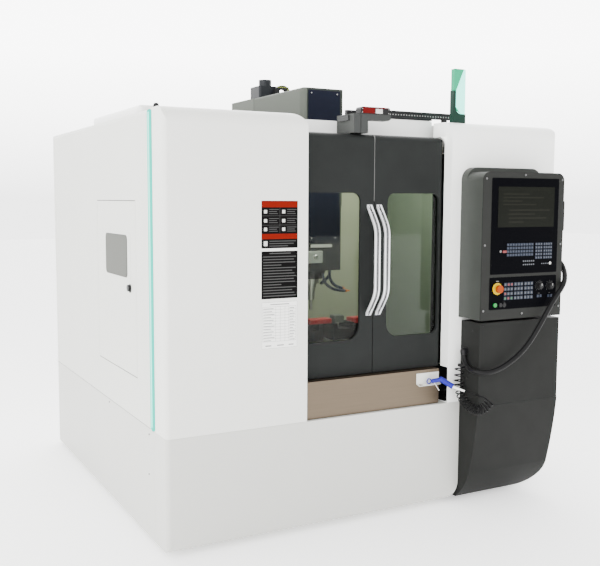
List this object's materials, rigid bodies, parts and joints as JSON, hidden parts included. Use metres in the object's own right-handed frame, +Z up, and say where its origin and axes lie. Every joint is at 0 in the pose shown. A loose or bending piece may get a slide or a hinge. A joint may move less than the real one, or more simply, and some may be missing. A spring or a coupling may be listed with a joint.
{
  "type": "vertical machining center",
  "caption": "Enclosed vertical machining centre: sheet-metal casing with twin sliding doors, cast C-frame, crossed table, spindle head, tool drum and control pendant.",
  "frame": {"origin": "middle of the footprint on the floor, below the middle of the machine's outer box", "axes": "+X to the operator's right along the doors, +Y from the front covers to the rear panel, +Z up"},
  "size_m": [2.254, 2.407, 2.32],
  "materials": {
    "access_door": "satin",
    "access_door_pane": "clear",
    "access_knob": "matte",
    "air_gun": "satin",
    "air_hose_coil": "gloss",
    "air_hose_tail": "gloss",
    "apron": "brushed",
    "axis_motors": "satin",
    "base_skirts": "satin",
    "bed_casting": "painted",
    "brackets": "satin",
    "chamber_guards": "satin",
    "column_casting": "painted",
    "coolant_nozzles": "satin",
    "cycle_button": "satin",
    "electrical_cabinet": "fine texture",
    "feed_knob": "satin",
    "fixture_blocks": "blackened",
    "gun_connector": "polished",
    "gun_trigger": "polished",
    "handwheel": "satin",
    "head_casting": "painted",
    "head_cover": "satin",
    "head_plate": "satin",
    "hold_button": "satin",
    "left_door_handle": "anodised",
    "left_door_pane": "clear",
    "left_door_panel": "satin",
    "left_front_cover": "satin",
    "levelling_feet": "plain",
    "light_strip": "translucent",
    "line_fittings": "matte",
    "magazine_bracket": "satin",
    "magazine_carriage": "satin",
    "magazine_drum": "machined",
    "membrane_keys": "satin film",
    "pendant_cable": "matte",
    "pendant_housing": "fine texture",
    "pendant_overlays": "satin film",
    "pendant_screws": "polished",
    "rails_and_screws": "ground",
    "rear_door": "satin",
    "right_door_handle": "anodised",
    "right_door_pane": "clear",
    "right_door_panel": "satin",
    "right_front_cover": "satin",
    "roof_fittings": "matte",
    "roof_panels": "satin",
    "saddle_casting": "painted",
    "saddle_guides": "ground",
    "screen": "gloss",
    "side_and_rear_panels": "satin",
    "speed_knob": "satin",
    "spindle": "ground",
    "spindle_motor": "satin",
    "start_button": "gloss",
    "stop_button": "gloss",
    "table": "ground",
    "tool_holder": "ground",
    "tower_light_lens": "clear"
  },
  "bodies": {
    "machine": {"air_gun": "air_gun", "air_hose_coil": "air_hose_coil", "air_hose_tail": "air_hose_tail", "apron": "apron", "axis_motors": "axis_motors", "base_skirts": "base_skirts", "bed_casting": "bed_casting", "brackets": "brackets", "chamber_guards": "chamber_guards", "column_casting": "column_casting", "electrical_cabinet": "electrical_cabinet", "gun_connector": "gun_connector", "left_front_cover": "left_front_cover", "levelling_feet": "levelling_feet", "light_strip": "light_strip", "line_fittings": "line_fittings", "magazine_bracket": "magazine_bracket", "membrane_keys": "membrane_keys", "pendant_cable": "pendant_cable", "pendant_housing": "pendant_housing", "pendant_overlays": "pendant_overlays", "pendant_screws": "pendant_screws", "rails_and_screws": "rails_and_screws", "right_front_cover": "right_front_cover", "roof_fittings": "roof_fittings", "roof_panels": "roof_panels", "screen": "screen", "side_and_rear_panels": "side_and_rear_panels", "tower_light_lens": "tower_light_lens"},
    "left_door": {"left_door_panel": "left_door_panel", "left_door_pane": "left_door_pane", "left_door_handle": "left_door_handle"},
    "right_door": {"right_door_panel": "right_door_panel", "right_door_pane": "right_door_pane", "right_door_handle": "right_door_handle"},
    "saddle": {"saddle_casting": "saddle_casting", "saddle_guides": "saddle_guides"},
    "work_table": {"table": "table", "fixture_blocks": "fixture_blocks"},
    "spindle_head": {"head_casting": "head_casting", "head_cover": "head_cover", "head_plate": "head_plate", "spindle_motor": "spindle_motor", "coolant_nozzles": "coolant_nozzles"},
    "spindle_shaft": {"spindle": "spindle", "tool_holder": "tool_holder"},
    "magazine_slide": {"magazine_carriage": "magazine_carriage"},
    "tool_drum": {"magazine_drum": "magazine_drum"},
    "side_access_door": {"access_door": "access_door", "access_door_pane": "access_door_pane"},
    "side_door_knob": {"access_knob": "access_knob"},
    "rear_access_door": {"rear_door": "rear_door"},
    "emergency_stop": {"stop_button": "stop_button"},
    "green_button": {"start_button": "start_button"},
    "dark_button_a": {"hold_button": "hold_button"},
    "dark_button_b": {"cycle_button": "cycle_button"},
    "feed_dial": {"feed_knob": "feed_knob"},
    "speed_dial": {"speed_knob": "speed_knob"},
    "hand_wheel": {"handwheel": "handwheel"},
    "trigger": {"gun_trigger": "gun_trigger"}
  },
  "joints": [
    {"name": "left_door_slide", "type": "slide", "parent": "machine", "child": "left_door", "axis": [-1, 0, 0], "range_m": [0, 0.355]},
    {"name": "right_door_slide", "type": "slide", "parent": "machine", "child": "right_door", "axis": [1, 0, 0], "range_m": [0, 0.355]},
    {"name": "y_axis", "type": "slide", "parent": "machine", "child": "saddle", "axis": [0, 1, 0], "range_m": [-0.2, 0.2]},
    {"name": "x_axis", "type": "slide", "parent": "saddle", "child": "work_table", "axis": [1, 0, 0], "range_m": [-0.325, 0.325]},
    {"name": "z_axis", "type": "slide", "parent": "machine", "child": "spindle_head", "axis": [0, 0, 1], "range_m": [-0.14, 0.31]},
    {"name": "spindle_spin", "type": "hinge", "parent": "spindle_head", "child": "spindle_shaft", "pos_m": [-0.007, -0.26678, 1.3], "axis": [0, 0, 1], "continuous": true},
    {"name": "magazine_advance", "type": "slide", "parent": "machine", "child": "magazine_slide", "axis": [1, 0, 0], "range_m": [0, 0.25]},
    {"name": "drum_index", "type": "hinge", "parent": "magazine_slide", "child": "tool_drum", "pos_m": [-0.487, -0.26678, 1.15], "axis": [0, 0, 1], "continuous": true},
    {"name": "side_access_hinge", "type": "hinge", "parent": "machine", "child": "side_access_door", "pos_m": [-1.108, 0.08622, 1.1], "axis": [0, 0, -1], "range_deg": [0, 110]},
    {"name": "side_knob_turn", "type": "hinge", "parent": "side_access_door", "child": "side_door_knob", "pos_m": [-1.113, -0.47478, 1.173], "axis": [-1, 0, 0], "range_deg": [0, 90]},
    {"name": "rear_door_hinge", "type": "hinge", "parent": "machine", "child": "rear_access_door", "pos_m": [-0.422, 1.19522, 1], "axis": [0, 0, 1], "range_deg": [0, 110]},
    {"name": "stop_push", "type": "slide", "parent": "machine", "child": "emergency_stop", "axis": [0, 1, 0], "range_m": [0, 0.006]},
    {"name": "start_push", "type": "slide", "parent": "machine", "child": "green_button", "axis": [0, 1, 0], "range_m": [0, 0.003], "stiffness_N_per_m": 1200, "springref_m": -0.002},
    {"name": "hold_push", "type": "slide", "parent": "machine", "child": "dark_button_a", "axis": [0, 1, 0], "range_m": [0, 0.003], "stiffness_N_per_m": 1200, "springref_m": -0.002},
    {"name": "cycle_push", "type": "slide", "parent": "machine", "child": "dark_button_b", "axis": [0, 1, 0], "range_m": [0, 0.003], "stiffness_N_per_m": 1200, "springref_m": -0.002},
    {"name": "feed_turn", "type": "hinge", "parent": "machine", "child": "feed_dial", "pos_m": [0.865, -1.13878, 1.158], "axis": [0, -1, 0], "range_deg": [-135, 135]},
    {"name": "speed_turn", "type": "hinge", "parent": "machine", "child": "speed_dial", "pos_m": [0.939, -1.13878, 1.156], "axis": [0, -1, 0], "range_deg": [-135, 135]},
    {"name": "handwheel_turn", "type": "hinge", "parent": "machine", "child": "hand_wheel", "pos_m": [1.057, -1.06878, 1.49], "axis": [1, 0, 0], "continuous": true},
    {"name": "trigger_pull", "type": "hinge", "parent": "machine", "child": "trigger", "pos_m": [0.323, -0.97978, 0.6685], "axis": [0, -1, 0], "range_deg": [0, 14], "stiffness_Nm_per_rad": 0.6, "springref_deg": -8.59}
  ]
}
